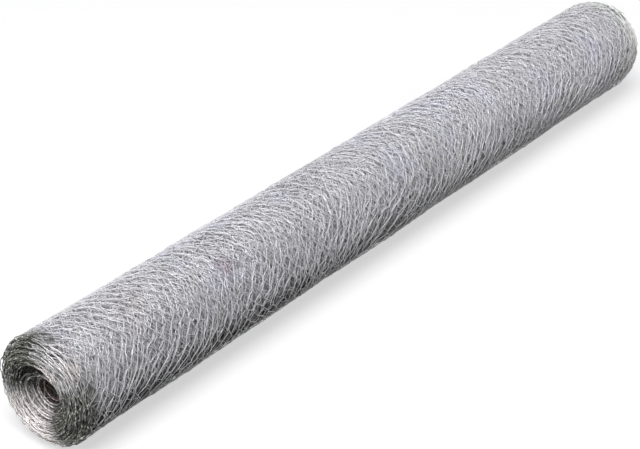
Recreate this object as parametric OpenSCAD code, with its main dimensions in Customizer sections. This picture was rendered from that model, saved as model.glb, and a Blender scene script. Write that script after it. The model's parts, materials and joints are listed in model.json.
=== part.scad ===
// A roll of chicken wire: one strip of galvanised hexagonal netting wound round an open core.
// The roll lies along X on the floor plane z = 0, with its dished end towards -X.

/* [Netting] */
// Width of the netting, which is the length of the roll
netting_w = 1000; // [500:50:1800]
// Thickness of the edge wire that shows as one turn on an end
wire_d = 0.7; // [0.5:0.05:1.2]

/* [Roll] */
// Outside diameter of the roll
roll_d = 117; // [100:1:160]
// Diameter of the open core
core_d = 21; // [16:1:30]
// Gap between two turns of the tight outer winding
turn_gap = 0.28; // [0.25:0.01:1.5]
// Diameter inside which the turns are loose
loose_d = 47; // [40:1:60]
// Gap between two of the loose turns
loose_gap = 1.5; // [0.8:0.1:2.5]
// Depth of the gaps between the turns on an end
gap_depth = 8; // [4:1:15]

/* [Ends] */
// How far the rounding of an end reaches in from the roll's outside
round_depth = 22; // [10:1:30]
// Length of the rounding of the near end
near_round_len = 20; // [8:1:40]
// Length of the rounding of the far end
far_round_len = 50; // [8:1:80]
// Diameter of the dish, inside which the turns have slipped along the roll
dish_d = 72; // [62:1:90]
// Slope of the dish, measured from the plane of its rim
dish_slope = 41; // [10:1:50]

/* [Hidden] */
$fn = 96;

zinc_grey = [0.66, 0.66, 0.68];
tip_steps = 4;

roll_r = roll_d / 2;
core_r = core_d / 2;
loose_r = loose_d / 2;
dish_r = dish_d / 2;
wire_r = wire_d / 2;

// The loose turns lie next to the core, and the tight ones fill the rest of the way to the outside.
loose_pitch = wire_d + loose_gap;
loose_turns = floor((loose_r - core_r) / loose_pitch);
tight_from = core_r + loose_turns * loose_pitch;
tight_room = roll_r - wire_d - tight_from;
tight_turns = 1 + floor(tight_room / (wire_d + turn_gap));
tight_pitch = tight_room / (tight_turns - 1);
turns = loose_turns + tight_turns;

// Inner radius of a turn, counted from the core.
function turn_inner_r(i) =
    i < loose_turns ? core_r + i * loose_pitch : tight_from + (i - loose_turns) * tight_pitch;

// How far along the roll a turn at radius r has slipped: most at the core, and nothing outside the dish.
function slip(r) = max(0, dish_r - r) * tan(dish_slope);

// How far a turn at radius r is set back by the rounding of its end, which is a quarter of an ellipse.
function set_back(r, round_len) =
    let (reach = max(0, r + wire_r - roll_r + round_depth) / round_depth)
        round_len * (1 - sqrt(1 - pow(reach, 2)));

// Where the edge of a turn lies along the roll. An end is [face, side, round_len], and its side is
// 1 where the roll goes on from the face towards +y and -1 where it goes on towards -y.
function turn_tip(i, end) = end[0] + slip(turn_inner_r(i)) + end[1] * set_back(turn_inner_r(i), end[2]);

// One turn's rounded edge as points from its inner to its outer side.
function turn_edge(i, end) = [
    for (k = [0 : tip_steps])
        let (a = 180 - 180 * k / tip_steps)
            [
                turn_inner_r(i) + wire_r + wire_r * cos(a),
                turn_tip(i, end) + end[1] * wire_r * (1 - sin(a))
            ]
];

// The gap outside a turn as the two corners of its floor, which lies behind both turns' edges.
function gap_floor(i, end) =
    let (
        deeper_tip = end[1] * max(end[1] * turn_tip(i, end), end[1] * turn_tip(i + 1, end)),
        floor_y = deeper_tip + end[1] * gap_depth
    )
        [
            [turn_inner_r(i) + wire_d, floor_y],
            [turn_inner_r(i + 1), floor_y]
        ];

// An end of the roll from the core out to the barrel, with every turn and gap.
function end_outline(end) = [
    for (i = [0 : turns - 1])
        each concat(turn_edge(i, end), i < turns - 1 ? gap_floor(i, end) : [])
];

function reversed(points) = [for (k = [len(points) - 1 : -1 : 0]) points[k]];

// Half section of the roll: x is the radius and y runs along the roll from the near end.
module half_section() {
    polygon(concat(
        end_outline([0, 1, near_round_len]),
        reversed(end_outline([netting_w, -1, far_round_len]))
    ));
}

module netting_roll() {
    color(zinc_grey)
        translate([-(netting_w + slip(core_r)) / 2, 0, roll_r])
            rotate([0, 90, 0])
                rotate_extrude()
                    half_section();
}

netting_roll();
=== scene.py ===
import json
import math

import bpy
import numpy as np
from mathutils import Matrix, Vector


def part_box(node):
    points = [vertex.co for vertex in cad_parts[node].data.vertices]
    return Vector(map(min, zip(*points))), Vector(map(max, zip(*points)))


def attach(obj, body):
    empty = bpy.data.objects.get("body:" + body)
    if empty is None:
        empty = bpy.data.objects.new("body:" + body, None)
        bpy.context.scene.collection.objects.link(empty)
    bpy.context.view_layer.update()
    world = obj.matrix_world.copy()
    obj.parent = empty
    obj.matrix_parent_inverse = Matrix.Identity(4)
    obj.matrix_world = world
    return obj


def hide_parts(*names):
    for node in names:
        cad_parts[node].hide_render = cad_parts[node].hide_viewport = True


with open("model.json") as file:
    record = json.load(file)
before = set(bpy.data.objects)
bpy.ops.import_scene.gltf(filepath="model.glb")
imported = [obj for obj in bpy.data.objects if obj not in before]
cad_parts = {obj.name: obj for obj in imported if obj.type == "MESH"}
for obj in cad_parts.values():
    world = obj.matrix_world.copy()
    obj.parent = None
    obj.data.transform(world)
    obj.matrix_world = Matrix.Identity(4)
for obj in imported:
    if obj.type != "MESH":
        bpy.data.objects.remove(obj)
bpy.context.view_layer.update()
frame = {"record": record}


# The strip of netting. It is one strip of hexagonal mesh in drawn steel wire, dipped in zinc, and
# it is wound on itself into a spiral round an open core. Each wire twists in turn with the wire on
# its left and the wire on its right, so a twisted pair and a slanting stretch follow each other.
roll_low, roll_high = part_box("netting_roll")
core_mount = frame["record"]["mounts"][0]

netting_w = 1.0
mesh_w = 0.013
row_pitch = 0.0118
twist_len = 0.0042
wire_d = 0.0007
wire_sides = 3
tight_pitch = 0.0009
loose_pitch = 0.0029

roll_r = (roll_high.z - roll_low.z) / 2
core_r = core_mount["dims"]["r_mm"] / 1000
axis_z = core_mount["pos_m"][2]
near_x = roll_low.x
core_slip = roll_high.x - roll_low.x - netting_w

wire_count = round(2 * netting_w / mesh_w)
column_w = netting_w / wire_count
whole_turn = 2 * math.pi

# The spiral starts at the free edge on the outside. It is tight until it comes to the loose turns.
loose_r = 0.031
outer_r = roll_r - wire_d
inner_r = core_r + wire_d
tight_shrink = tight_pitch / whole_turn
loose_shrink = loose_pitch / whole_turn
tight_angle = (outer_r - loose_r) / tight_shrink
tight_len = tight_angle * (outer_r + loose_r) / 2
loose_angle = (loose_r - inner_r) / loose_shrink
netting_len = tight_len + loose_angle * (loose_r + inner_r) / 2
row_count = int(netting_len / row_pitch)
free_edge_angle = math.radians(300)

# Each end is rounded off: the outer turns stop short of the face by a quarter of an ellipse.
# The inner turns have slipped along the roll, which leaves a soft-edged dish in the near end. The
# loose ones have dropped as well, which opens a gap over them.
dish_r = 0.042
dish_curve = 1.5
drop_gap = 0.009
drop_angle = math.radians(85)
round_depth = 0.022
near_round_len = 0.020
far_round_len = 0.050

rng = np.random.default_rng(seed=20)


def wound_angle(along):
    """How far round the spiral a place on the strip is, counted from the free edge inwards."""
    root = np.sqrt(outer_r ** 2 - 2 * tight_shrink * np.minimum(along, tight_len))
    loose_along = np.clip(along - tight_len, 0, netting_len - tight_len)
    loose_root = np.sqrt(loose_r ** 2 - 2 * loose_shrink * loose_along)
    return (outer_r - root) / tight_shrink + (loose_r - loose_root) / loose_shrink


def wound_radius(angle):
    """The spiral's radius there, before anything moves the netting."""
    tight = np.minimum(angle, tight_angle)
    return outer_r - tight_shrink * tight - loose_shrink * (angle - tight)


def set_back(radius, round_len):
    """How far the netting stops short of the face on a turn of this radius."""
    reach = np.clip((radius - roll_r + round_depth) / round_depth, 0, 1)
    return round_len * (1 - np.sqrt(1 - reach ** 2))


def slip(radius):
    """How far a turn of this radius has slipped along the roll."""
    return core_slip * np.clip((dish_r - radius) / (dish_r - core_r), 0, 1) ** dish_curve


def random_waves(count, height, along_range, across_range):
    """A smooth random field over the flat strip, as a sum of slanting waves."""
    along_k = rng.choice([-1, 1], count) * whole_turn / rng.uniform(*along_range, count)
    across_k = whole_turn / rng.uniform(*across_range, count)
    phase = rng.uniform(0, whole_turn, count)

    def field(along, across):
        total = np.zeros(np.broadcast(along, across).shape)
        for k in range(count):
            total += np.sin(along * along_k[k] + across * across_k[k] + phase[k])
        return total * height

    return field


# The mesh has been pulled about. Each drift has a number of waves, the height of each wave, and
# the ranges that their lengths along and across the strip are drawn from.
along_drift = random_waves(8, 0.0035, (0.3, 1.5), (0.1, 0.5))
wide_drift = random_waves(8, 0.0044, (0.12, 0.5), (0.15, 0.6))
small_drift = random_waves(8, 0.0009, (0.06, 0.25), (0.05, 0.2))
outward_drift = random_waves(6, 0.00018, (0.05, 0.3), (0.04, 0.3))
rim_drift = random_waves(8, 0.0008, (0.03, 0.2), (0.05, 0.3))
rim_spread = random_waves(8, 0.0003, (0.03, 0.2), (0.05, 0.3))

# The drift along the strip dies away at both of its ends, and the drifts across it all but die away
# at its rims. The rims are ragged instead, and those of the loose turns are less so.
end_hold_len = 0.1
rim_hold_w = 0.2
rim_play = 0.1
ragged_w = 0.03
ragged_depth = 0.01
least_ragged = 0.2


def wound(along, across, out):
    """Places on the flat strip as points on the roll, and the outward direction at each of them."""
    held = np.clip(np.minimum(along, netting_len - along) / end_hold_len, 0, 1)
    angle = wound_angle(along + along_drift(along, across) * held)
    flat_r = wound_radius(angle)
    share = (flat_r - core_r) / (roll_r - core_r)
    from_rim = np.minimum(across, netting_w - across)
    play = np.clip(rim_play + from_rim / rim_hold_w, 0, 1)
    ragged = np.clip(1 - from_rim / ragged_w, 0, 1)
    ragged = ragged * np.clip((flat_r - loose_r) / ragged_depth, least_ragged, 1)
    turned = free_edge_angle + angle
    dropped = np.clip((flat_r - core_r) / (loose_r - core_r), 0, 1) * (flat_r < loose_r)
    dropped = dropped * np.clip(np.cos(turned - drop_angle), 0, 1) * drop_gap
    radius = flat_r + out + outward_drift(along, across) * share - dropped
    radius = np.minimum(radius + rim_spread(along, across) * ragged, outer_r + wire_d)
    near_back = set_back(flat_r, near_round_len)
    far_back = set_back(flat_r, far_round_len)
    drift = (wide_drift(along, across) + small_drift(along, across)) * play
    drift = drift + rim_drift(along, across) * ragged
    narrowed = across * (1 - (near_back + far_back) / netting_w)
    x = near_x + near_back + narrowed + slip(flat_r) + drift
    out_y = np.cos(turned)
    out_z = np.sin(turned)
    points = np.stack([x, radius * out_y, axis_z + radius * out_z], axis=-1)
    outward = np.stack([np.zeros_like(out_y), out_y, out_z], axis=-1)
    return points, outward


# How far a twist strays along, across and out of the strip, and how far it leans over.
twist_stray = [0.0015, 0.0013, 0.0002, 0.0011]
twist_shift = rng.normal(0, 1, (row_count + 1, wire_count + 1, len(twist_stray))) * twist_stray


def wire_lines(rows, wires, twist_steps, slant_steps):
    """Centre lines of these wires over these rows, as points on the roll with outward directions."""
    rows = np.asarray(rows)[None, :, None]
    wires = np.asarray(wires)[:, None, None]
    side = (wires + rows) % 2
    column = wires + side
    shift = twist_shift[rows, column]
    step = np.linspace(0, 1, twist_steps + 1)[None, None, :]
    turn = math.pi * side + whole_turn * step
    along = row_pitch * (rows + 0.5) + twist_len * (step - 0.5) + shift[..., 0]
    lean = shift[..., 3] * (2 * step - 1)
    across = column * column_w + shift[..., 1] + lean + np.cos(turn) * wire_d / 2
    out = shift[..., 2] + np.sin(turn) * wire_d / 2
    places = np.stack(np.broadcast_arrays(along, across, out), axis=-1)
    if slant_steps > 1:
        part = np.arange(1, slant_steps)[:, None] / slant_steps
        begin = places[:, :-1, -1:, :]
        end = places[:, 1:, :1, :]
        slants = begin + (end - begin) * part
        # No slant follows the last row, so the end of its twist is repeated there.
        last = np.repeat(places[:, -1:, -1:, :], slant_steps - 1, axis=2)
        places = np.concatenate([places, np.concatenate([slants, last], axis=1)], axis=2)
    places = places.reshape(places.shape[0], -1, 3)
    return wound(places[..., 0], places[..., 1], places[..., 2])


def tube_arrays(points, outward, diameter):
    """Vertices and faces of closed tubes round several centre lines that have equal point counts."""
    lines, count = points.shape[:2]
    ahead = np.gradient(points, axis=1)
    ahead /= np.linalg.norm(ahead, axis=-1, keepdims=True)
    across = np.cross(ahead, outward)
    across /= np.linalg.norm(across, axis=-1, keepdims=True)
    up = np.cross(across, ahead)
    # A tube with few sides gets a wider circle, so that it looks as thick as the round wire.
    circle_r = diameter / 2 * math.pi / (wire_sides * math.sin(math.pi / wire_sides))
    turn = whole_turn * np.arange(wire_sides) / wire_sides
    ring = np.cos(turn)[:, None] * up[:, :, None, :] + np.sin(turn)[:, None] * across[:, :, None, :]
    vertices = (points[:, :, None, :] + circle_r * ring).reshape(-1, 3)
    index = np.arange(lines * count * wire_sides).reshape(lines, count, wire_sides)
    beside = np.roll(index, -1, axis=2)
    walls = [index[:, :-1], beside[:, :-1], beside[:, 1:], index[:, 1:]]
    walls = np.stack(walls, axis=-1).reshape(-1, 4)
    caps = np.concatenate([index[:, 0, ::-1], index[:, -1, :]])
    return vertices, walls, caps


def tube_mesh(name, tubes):
    """One mesh object from several sets of tubes."""
    vertices, corners, sizes, first = [], [], [], 0
    for points, walls, caps in tubes:
        vertices.append(points)
        for faces in (walls, caps):
            corners.append((faces + first).ravel())
            sizes.append(np.full(len(faces), faces.shape[1]))
        first += len(points)
    vertices = np.concatenate(vertices)
    corners = np.concatenate(corners)
    sizes = np.concatenate(sizes)
    mesh = bpy.data.meshes.new(name)
    mesh.vertices.add(len(vertices))
    mesh.vertices.foreach_set("co", vertices.astype(np.float32).ravel())
    mesh.loops.add(len(corners))
    mesh.loops.foreach_set("vertex_index", corners.astype(np.int32))
    mesh.polygons.add(len(sizes))
    mesh.polygons.foreach_set("loop_start", (np.cumsum(sizes) - sizes).astype(np.int32))
    mesh.polygons.foreach_set("use_smooth", np.ones(len(sizes), bool))
    mesh.update(calc_edges=True)
    mesh.validate()
    piece = bpy.data.objects.new(name, mesh)
    bpy.context.scene.collection.objects.link(piece)
    return piece


class Shade:
    """One output of a material's nodes. Sums and products of it add Math nodes."""

    def __init__(self, tree, output=None):
        self.tree = tree
        self.output = output

    def node(self, kind, settings, sockets, output=0):
        """One output of a new node. Its settings come first, then its socket values and links."""
        made = self.tree.nodes.new(kind)
        for name, value in settings.items():
            setattr(made, name, value)
        for name, value in sockets.items():
            if isinstance(value, Shade):
                self.tree.links.new(value.output, made.inputs[name])
            else:
                made.inputs[name].default_value = value
        return Shade(self.tree, made.outputs[output])

    def math(self, operation, *terms):
        """The result of this operation on the terms."""
        return self.node("ShaderNodeMath", {"operation": operation}, dict(enumerate(terms)))

    def noise(self, scale, detail):
        """A smooth random value round 0.5 at this place."""
        return self.node("ShaderNodeTexNoise", {}, {"Vector": self, "Scale": scale, "Detail": detail})

    def parts(self):
        """The X, Y and Z of this vector."""
        first = self.node("ShaderNodeSeparateXYZ", {}, {"Vector": self})
        return [Shade(self.tree, output) for output in first.output.node.outputs]

    def mix(self, first, second):
        """The first colour where this value is 0, the second where it is 1."""
        return self.node("ShaderNodeMix", {"data_type": "RGBA"}, {0: self, 6: first, 7: second}, 2)

    def between(self, low, high):
        """0 where this value is under low, 1 where it is over high."""
        sockets = {"Value": self, "From Min": low, "From Max": high}
        return self.node("ShaderNodeMapRange", {"interpolation_type": "SMOOTHSTEP"}, sockets)

    def feed(self, shader, socket):
        """Links this value to a socket of the shader."""
        self.tree.links.new(self.output, shader.inputs[socket])

    def __add__(self, other):
        return self.math("ADD", self, other)

    def __sub__(self, other):
        return self.math("SUBTRACT", self, other)

    def __rsub__(self, other):
        return self.math("SUBTRACT", other, self)

    def __mul__(self, other):
        return self.math("MULTIPLY", self, other)

    __radd__ = __add__
    __rmul__ = __mul__


def new_finish(name):
    """A new material, its surface shader, and the start of its nodes."""
    finish = bpy.data.materials.new(name)
    finish.use_nodes = True
    surface = finish.node_tree.nodes["Principled BSDF"]
    return finish, surface, Shade(finish.node_tree)


# The zinc has brighter and duller patches and fine spangles, with faint brown stains and stretches of
# a painted lilac sheen. A share is how much of a colour there is where it is strongest. A fade is the
# range of distances, and a cut the range of any other value, over which a mark comes or goes.
bright_zinc = (0.90, 0.895, 0.925, 1)
dull_zinc = (0.75, 0.75, 0.765, 1)
brown_stain = (0.66, 0.57, 0.53, 1)
painted_lilac_sheen = (0.86, 0.85, 0.98, 1)
patch_cut = (0.35, 0.7)
patch_share = 0.6
spangle_cut = (0.35, 0.65)
spangle_share = 0.4
stain_cut = (0.58, 0.75)
stain_share = 0.2
sheen_cut = (0.32, 0.44)
sheen_share = 0.35
least_rough = 0.25
dull_rough = 0.2

zinc, surface, start = new_finish("galvanised_wire")
place = start.node("ShaderNodeTexCoord", {}, {}, "Object")
patches = place.noise(scale=55.0, detail=3.0)
spangle = place.noise(scale=900.0, detail=2.0)
stain = place.noise(scale=14.0, detail=4.0)
dullness = patches.between(*patch_cut) * patch_share + spangle.between(*spangle_cut) * spangle_share
colour = dullness.mix(bright_zinc, dull_zinc)
colour = (stain.between(*stain_cut) * stain_share).mix(colour, brown_stain)
colour = ((1 - stain.between(*sheen_cut)) * sheen_share).mix(colour, painted_lilac_sheen)
rough = dullness * dull_rough + least_rough
dross = start.node("ShaderNodeBump", {}, {"Height": spangle, "Strength": 0.25, "Distance": 0.0002})

# How deep a wire is buried is measured from the nearest of three faces: the barrel and the two ends,
# with their roundings and their slipped turns. Wires that lie deeper are darkened further down, as
# painted shade.
buried_fade = (0.0008, 0.005)
reach_limit = 0.99

x, y, z = place.parts()
height = z - axis_z
radius = start.math("SQRT", y * y + height * height)
from_face = x - near_x
reach = start.math("MAXIMUM", (radius - (roll_r - round_depth)) * (1 / round_depth), 0)
reach = start.math("MINIMUM", reach, reach_limit)
rounding = 1 - start.math("SQRT", 1 - reach * reach)
dished = start.math("MAXIMUM", (dish_r - radius) * (1 / (dish_r - core_r)), 0)
slipped = core_slip * start.math("POWER", dished, dish_curve)
behind_near = from_face - rounding * near_round_len - slipped
behind_far = netting_w + slipped - rounding * far_round_len - from_face
depth = start.math("MINIMUM", start.math("MINIMUM", behind_near, behind_far), outer_r - radius)
buried = depth.between(*buried_fade)

# The near end has olive painted shade at two opposite sides, with painted glints and dark holes of
# painted shade in it, and a pale, slightly pink painted highlight at the other two. Nearer the core
# the painted shade spreads further round.
olive_shade = (0.108, 0.111, 0.072, 1)
pale_highlight = (0.98, 0.93, 0.91, 1)
warm_highlight = (0.74, 0.655, 0.635, 1)
dark_shade = (0.03, 0.03, 0.023, 1)
highlight_angle = math.radians(120)
shade_angle = math.radians(115)
shade_weight = 0.65
patch_weight = 1.6
middle_noise = 0.5
end_fade = (0.010, 0.034)
end_highlight_cut = (0.0, 0.7)
end_highlight_share = 0.8
warm_fade = (-0.02, 0.025)
end_shade_cut = (-0.6, 0.65)
end_shade_share = 0.92
inner_fade = (0.034, 0.044)
inner_lip_shade = 0.3
glint_cut = (0.55, 0.64)
glint_share = 0.9
shade_hole_cut = (0.58, 0.66)


def end_lighting(start, height, y, patches):
    """Round the roll's ends, painted light and shade: about 1 where they get a painted highlight, and
    about -1 where they get painted shade.
    """
    round_end = start.math("ARCTAN2", height, y)
    highlight_sides = start.math("COSINE", (round_end - highlight_angle) * 2)
    shaded_side = start.math("COSINE", round_end - shade_angle) * shade_weight
    return highlight_sides - shaded_side + (patches - middle_noise) * patch_weight


on_end = 1 - from_face.between(*end_fade)
inner = 1 - radius.between(*inner_fade)
# side is the painted light and shade round the ends: high at the painted highlight, low at the
# painted shade.
side = end_lighting(start, height, y, patches)
end_highlight = side.between(*end_highlight_cut) * on_end
end_shade = (inner * inner_lip_shade - side).between(*end_shade_cut) * on_end * end_shade_share
# Painted glints keep the zinc bright in small specks through the painted shade.
glint = place.noise(scale=330.0, detail=2.0).between(*glint_cut)
shade_hole = place.noise(scale=120.0, detail=1.0).between(*shade_hole_cut)
highlight_colour = height.between(*warm_fade).mix(pale_highlight, warm_highlight)
colour = (end_highlight * end_highlight_share).mix(colour, highlight_colour)

# The far rim is faintly green, and the barrel has one reddish mark. The underside gets olive painted
# shade, weaker towards the far end, and most of that shade lies in the gaps between the wires. The
# core is brown.
green_bloom = (0.80, 0.82, 0.73, 1)
green_fade = (0.94, 1.0)
green_share = 0.5
rust_mark = (0.36, 0.21, 0.27, 1)
mark_place = (near_x + 0.2288, -0.0331, 0.1068)
mark_fade = (0.003, 0.017)
mark_share = 0.5
near_shade_fade = (0.05, 1.0)
near_shade_loss = 0.8
low_fade = (0.02, 0.065)
low_share = 0.12
highlight_cover = 0.9
loose_fade = (loose_r - 0.003, loose_r)
end_depth_shade = 0.8
low_shade = 0.95
loose_shade = 0.55
even_shade = 0.12
low_gap_fade = (0.0003, 0.0024)
low_gap_share = 0.85
core_brown = (0.33, 0.20, 0.175, 1)
core_fade = (0.010, 0.018)

colour = (from_face.between(*green_fade) * green_share).mix(colour, green_bloom)
from_mark = start.node(
    "ShaderNodeVectorMath", {"operation": "DISTANCE"}, {0: place, 1: mark_place}, "Value"
)
colour = ((1 - from_mark.between(*mark_fade)) * mark_share).mix(colour, rust_mark)
near_shade = 1 - from_face.between(*near_shade_fade) * near_shade_loss
# low is where the painted shade underneath goes, with none of it under the painted highlight.
low = (1 - z.between(*low_fade)) * near_shade * (1 - end_highlight * highlight_cover)
olive_shade_mask = start.math("MAXIMUM", end_shade, low * low_share)
colour = (olive_shade_mask * (1 - glint * glint_share)).mix(colour, olive_shade)
# Buried wires get painted shade: most under the near end's painted shade and underneath, much in the
# loose turns, and a little everywhere, less towards the far end.
loose_turn = 1 - radius.between(*loose_fade)
shaded = start.math("MAXIMUM", end_shade * end_depth_shade, low * low_shade)
shaded = start.math("MAXIMUM", shaded, loose_turn * loose_shade) + near_shade * even_shade
colour = (buried * shaded).mix(colour, dark_shade)
underside_gap_shade = (outer_r - radius).between(*low_gap_fade) * low * (1 - on_end) * low_gap_share
colour = underside_gap_shade.mix(colour, dark_shade)
# Dark holes of painted shade in the near end's shaded sides.
colour = (shade_hole * end_shade).mix(colour, dark_shade)
colour = (1 - radius.between(*core_fade)).mix(colour, core_brown)
colour.feed(surface, "Base Color")
rough.feed(surface, "Roughness")
dross.feed(surface, "Normal")
surface.inputs["Metallic"].default_value = 0.25


# The outer turns of the netting, in zinc-coated wire. The open mesh lets the eye several turns
# deep, so these are made wire by wire over the whole width, with fewer steps in each twist and
# each slant further in.
row_turn = (wound_angle(row_pitch * (np.arange(row_count) + 0.5)) / whole_turn).astype(int)
outer_steps = [(4, 2), (3, 1), (2, 1), (2, 1)] + [(1, 1)] * 6

for turn, (twist_steps, slant_steps) in enumerate(outer_steps):
    rows = np.flatnonzero(row_turn == turn)
    rows = np.append(rows, rows[-1] + 1)
    points, outward = wire_lines(rows, np.arange(wire_count), twist_steps, slant_steps)
    # A turn stops where the first row of the next one starts.
    kept = (len(rows) - 1) * (twist_steps + slant_steps) + 1
    tubes = tube_arrays(points[:, :kept], outward[:, :kept], wire_d)
    piece = tube_mesh("outer_turn_%d" % (turn + 1), [tubes])
    piece.data.materials.append(zinc)
    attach(piece, "root")
    if turn == 0:
        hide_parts("netting_roll")


# The inner turns where they show on the ends. They are the same netting in the same wire, made
# for the few meshes next to the rim, from the last outer turn in to the core.
end_wires = 3
inner_rows = np.flatnonzero(row_turn >= len(outer_steps))

for name, wires in (
    ("near_end_turns", np.arange(end_wires)),
    ("far_end_turns", np.arange(wire_count - end_wires, wire_count)),
):
    points, outward = wire_lines(inner_rows, wires, twist_steps=2, slant_steps=1)
    piece = tube_mesh(name, [tube_arrays(points, outward, wire_d)])
    piece.data.materials.append(zinc)
    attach(piece, "root")


# The selvages. A zinc-coated wire runs along each edge of the strip, and the outermost wire of the
# mesh twists round it, which keeps the edge from fraying. Wound up, the pair is the rings on the
# ends. Its second strand is made over the loose turns only, where the rings stand apart.
selvage_d = 0.001
selvage_pitch = 0.011
selvage_step = 0.0022
selvage_along = np.arange(0, row_count * row_pitch, selvage_step)[None, :]
loose_along = selvage_along[:, selvage_along[0] > tight_len]

for name, edge in (("near_selvage", 0.0), ("far_selvage", netting_w)):
    strands = []
    for along, half_turn in ((selvage_along, 0), (loose_along, math.pi)):
        turn = whole_turn * along / selvage_pitch + half_turn
        points, outward = wound(along, edge + np.cos(turn) * wire_d / 2, np.sin(turn) * wire_d / 2)
        strands.append(tube_arrays(points, outward, selvage_d))
    piece = tube_mesh(name, strands)
    piece.data.materials.append(zinc)
    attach(piece, "root")


# The heart of the roll. Under the outer turns the rest of the netting, in the same wire, is packed
# so close that it reads as one dim body of crossing wires. Its ends lie behind the turns' edges and
# follow their dish, and the open core goes through it.
heart_gap = 0.0012
heart_r = outer_r - tight_pitch * len(outer_steps) - heart_gap
heart_inset = 0.009
heart_sides = 96
heart_stations = 120
heart_rings = 16

ring_r = np.linspace(core_r + wire_d, heart_r, heart_rings)
near_ring_x = near_x + heart_inset + set_back(ring_r, near_round_len) + slip(ring_r)
far_ring_x = near_x + netting_w - heart_inset - set_back(ring_r, far_round_len) + slip(ring_r)
barrel_x = np.linspace(near_ring_x[-1], far_ring_x[-1], heart_stations)[1:-1]
profile_x = np.concatenate([near_ring_x, barrel_x, far_ring_x[::-1]])[:, None]
profile_r = np.concatenate([ring_r, np.full(len(barrel_x), heart_r), ring_r[::-1]])[:, None]
turned = whole_turn * np.arange(heart_sides) / heart_sides
heart_y = profile_r * np.cos(turned)
heart_z = axis_z + profile_r * np.sin(turned)
heart_points = np.stack(np.broadcast_arrays(profile_x, heart_y, heart_z), axis=-1).reshape(-1, 3)
index = np.arange(len(heart_points)).reshape(-1, heart_sides)
ahead = np.roll(index, -1, axis=0)
beside = np.roll(index, -1, axis=1)
walls = np.stack([index, beside, np.roll(ahead, -1, axis=1), ahead], axis=-1).reshape(-1, 4)
no_caps = np.zeros((0, 3), int)
heart = tube_mesh("heart_turns", [(heart_points, walls, no_caps)])

# Four sets of slanting wires cross on its barrel, and rings lie on its ends. A lane is the width that
# one wire and its gap take up, with the wire in the middle. The gaps are darker, as painted shade.
# The barrel has a lit copy of its colours on top and towards the far end and a copy in painted shade
# underneath, and the ends have a painted highlight and painted shade round them.
lit_wire = (0.74, 0.74, 0.755, 1)
lit_gap = (0.36, 0.36, 0.36, 1)
shaded_wire = (0.30, 0.30, 0.27, 1)
shaded_gap = (0.05, 0.05, 0.038, 1)
shaded_end_wire = (0.12, 0.118, 0.10, 1)
shaded_end_gap = (0.03, 0.03, 0.025, 1)
highlit_end_wire = (0.85, 0.81, 0.80, 1)
highlit_end_gap = (0.48, 0.46, 0.45, 1)
core_gap = (0.07, 0.036, 0.031, 1)
wire_slopes = (-0.7, -0.35, 0.4, 0.75)
lane_w = 0.0065
lane_wobble = 0.012
lane_offset = 3
ring_wobble = 0.002
half_lane = 0.5
wire_edge = (0.30, 0.44)
barrel_fade = (heart_r - 0.001, heart_r - 0.0003)
lit_fade = (0.02, 0.09)
far_lit_fade = (0.1, 1.0)
far_lit_share = 0.7
far_fade = (0.3, 0.7)
far_highlight = 0.5
heart_highlight_cut = (-0.2, 0.7)
heart_highlight_fade = (0.02, 0.03)
core_gap_fade = (0.0115, 0.016)

deep, surface, start = new_finish("packed_wire")
place = start.node("ShaderNodeTexCoord", {}, {}, "Object")
wobble = place.noise(scale=30.0, detail=2.0)
x, y, z = place.parts()
height = z - axis_z
radius = start.math("SQRT", y * y + height * height)
from_face = x - near_x
round_barrel = start.math("ARCTAN2", height, y) * heart_r
wires = 0
for slope in wire_slopes:
    lane = (x + round_barrel * slope + wobble * lane_wobble) * (1 / lane_w) + slope * lane_offset
    ridge = start.math("PINGPONG", lane, half_lane).between(*wire_edge)
    wires = start.math("MAXIMUM", wires, ridge)
ring_lane = (radius + wobble * ring_wobble) * (1 / loose_pitch)
rings = start.math("PINGPONG", ring_lane, half_lane).between(*wire_edge)
on_barrel = radius.between(*barrel_fade)
lit = start.math("MAXIMUM", z.between(*lit_fade), from_face.between(*far_lit_fade) * far_lit_share)
barrel = wires.mix(lit.mix(shaded_gap, lit_gap), lit.mix(shaded_wire, lit_wire))
# The ends get the painted highlight at the same sides as the zinc, half of it over the far end, and
# painted shade elsewhere.
at_far = from_face.between(*far_fade)
heart_end_highlight = end_lighting(start, height, y, wobble).between(*heart_highlight_cut) * (1 - at_far) + at_far * far_highlight
heart_end_highlight = heart_end_highlight * radius.between(*heart_highlight_fade)
end = rings.mix(heart_end_highlight.mix(shaded_end_gap, highlit_end_gap), heart_end_highlight.mix(shaded_end_wire, highlit_end_wire))
colour = on_barrel.mix(end, barrel)
colour = (1 - radius.between(*core_gap_fade)).mix(colour, core_gap)
relief = start.node("ShaderNodeBump", {}, {"Height": wires, "Strength": 0.8, "Distance": 0.0008})
colour.feed(surface, "Base Color")
relief.feed(surface, "Normal")
surface.inputs["Roughness"].default_value = 0.6
heart.data.materials.append(deep)
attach(heart, "root")


# The floor. A wide pale sheet that the roll lies on, which rises far away into a low backdrop all
# round. The camera and reflections see it white but for the roll's shadow, and it throws only a
# little light back up at the roll.
floor_r = 30.0
backdrop_h = 4.5
floor_sides = 64
seen_floor = (0.38, 0.38, 0.38, 1)
unseen_floor = (0.08, 0.08, 0.065, 1)
near_glow = (0.58, 0.58, 0.58, 1)
far_glow = (0.97, 0.97, 0.97, 1)
no_glow = (0, 0, 0, 1)
glow_fade = (1.0, 5.0)

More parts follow.
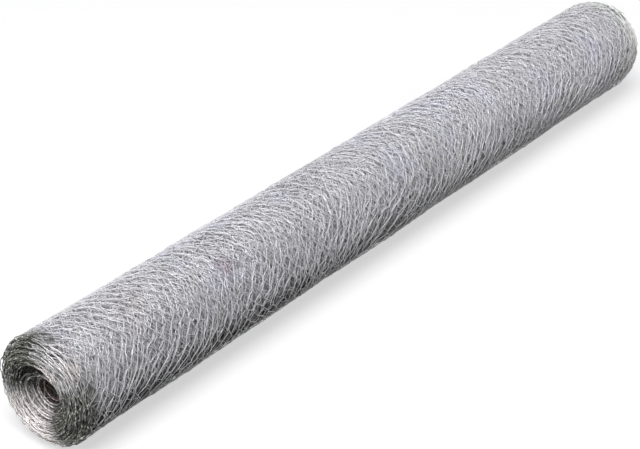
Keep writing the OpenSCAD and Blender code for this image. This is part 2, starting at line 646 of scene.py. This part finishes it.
angles = [whole_turn * k / floor_sides for k in range(floor_sides)]
floor_edge = [(floor_r * math.cos(angle), floor_r * math.sin(angle)) for angle in angles]
floor_points = [(edge_x, edge_y, h) for h in (0, backdrop_h) for edge_x, edge_y in floor_edge]
floor_faces = [tuple(range(floor_sides))]
for k in range(floor_sides):
    beside = (k + 1) % floor_sides
    floor_faces.append((beside, k, k + floor_sides, beside + floor_sides))
floor_mesh = bpy.data.meshes.new("floor")
floor_mesh.from_pydata(floor_points, [], floor_faces)
floor = bpy.data.objects.new("floor", floor_mesh)
bpy.context.scene.collection.objects.link(floor)

pale, surface, start = new_finish("pale_floor")
place = start.node("ShaderNodeTexCoord", {}, {}, "Object")
away = start.node("ShaderNodeVectorMath", {"operation": "LENGTH"}, {0: place}, "Value")
seen = 0
for ray in ("Is Camera Ray", "Is Glossy Ray", "Is Transmission Ray"):
    seen = start.math("MAXIMUM", seen, start.node("ShaderNodeLightPath", {}, {}, ray))
colour = seen.mix(unseen_floor, seen_floor)
glow = seen.mix(no_glow, away.between(*glow_fade).mix(near_glow, far_glow))
colour.feed(surface, "Base Color")
glow.feed(surface, "Emission Color")
surface.inputs["Emission Strength"].default_value = 1.0
surface.inputs["Roughness"].default_value = 0.9
surface.inputs["Specular IOR Level"].default_value = 0.0
floor_mesh.materials.append(pale)


# The light: a wide soft lamp overhead, a little to the front and to the near end, a weak low one
# that faces the near end from the back, a weaker low one in front of the far end, and a dim
# surround that is brighter and bluer overhead.

# Each lamp has its name, its width in metres, its power in watts and its place.
lamps = (
    ("overhead", 3.4, 250, (-1.7, -0.7, 4.4)),
    ("end_light", 1.2, 20, (-2.5, 0.9, 0.40)),
    ("side_light", 1.2, 14, (2.0, -1.6, 0.7)),
)
lamp_colour = (1.0, 0.99, 0.98)
level_surround = (0.12, 0.122, 0.125, 1)
high_surround = (0.25, 0.26, 0.31, 1)
surround_fade = (0.0, 0.9)

for name, size, power, lamp_place in lamps:
    lamp_data = bpy.data.lights.new(name, "AREA")
    lamp_data.shape = "DISK"
    lamp_data.size = size
    lamp_data.energy = power
    lamp_data.color = lamp_colour
    lamp = bpy.data.objects.new(name, lamp_data)
    lamp.location = lamp_place
    lamp.rotation_euler = (-Vector(lamp_place)).to_track_quat("-Z", "Y").to_euler()
    bpy.context.scene.collection.objects.link(lamp)

world = bpy.data.worlds.new("surround")
world.use_nodes = True
bpy.context.scene.world = world
start = Shade(world.node_tree)
upward = start.node("ShaderNodeTexCoord", {}, {}, "Generated").parts()[2]
colour = upward.between(*surround_fade).mix(level_surround, high_surround)
colour.feed(world.node_tree.nodes["Background"], "Color")


# The camera, at the angle, distance and focal length that fit the outline in the photo. The focal
# length is in pixels of a picture that is as wide as the photo.
image_w = 640
focal_px = 1901.2
sensor_w = 36.0
view_azimuth = math.radians(-50.999)
view_elevation = math.radians(30.943)
view_place = Vector((near_x - 0.9504, -1.1077, 1.1063))

right = Vector((math.cos(view_azimuth), math.sin(view_azimuth), 0))
back = Vector((
    math.sin(view_azimuth) * math.cos(view_elevation),
    -math.cos(view_azimuth) * math.cos(view_elevation),
    math.sin(view_elevation),
))
up = back.cross(right)
camera_data = bpy.data.cameras.new("camera")
camera_data.sensor_fit = "HORIZONTAL"
camera_data.sensor_width = sensor_w
camera_data.lens = focal_px * sensor_w / image_w
camera = bpy.data.objects.new("camera", camera_data)
camera.matrix_world = Matrix((
    (right.x, up.x, back.x, view_place.x),
    (right.y, up.y, back.y, view_place.y),
    (right.z, up.z, back.z, view_place.z),
    (0, 0, 0, 1),
))
bpy.context.scene.collection.objects.link(camera)
bpy.context.scene.camera = camera
bpy.context.scene.view_settings.view_transform = "Standard"
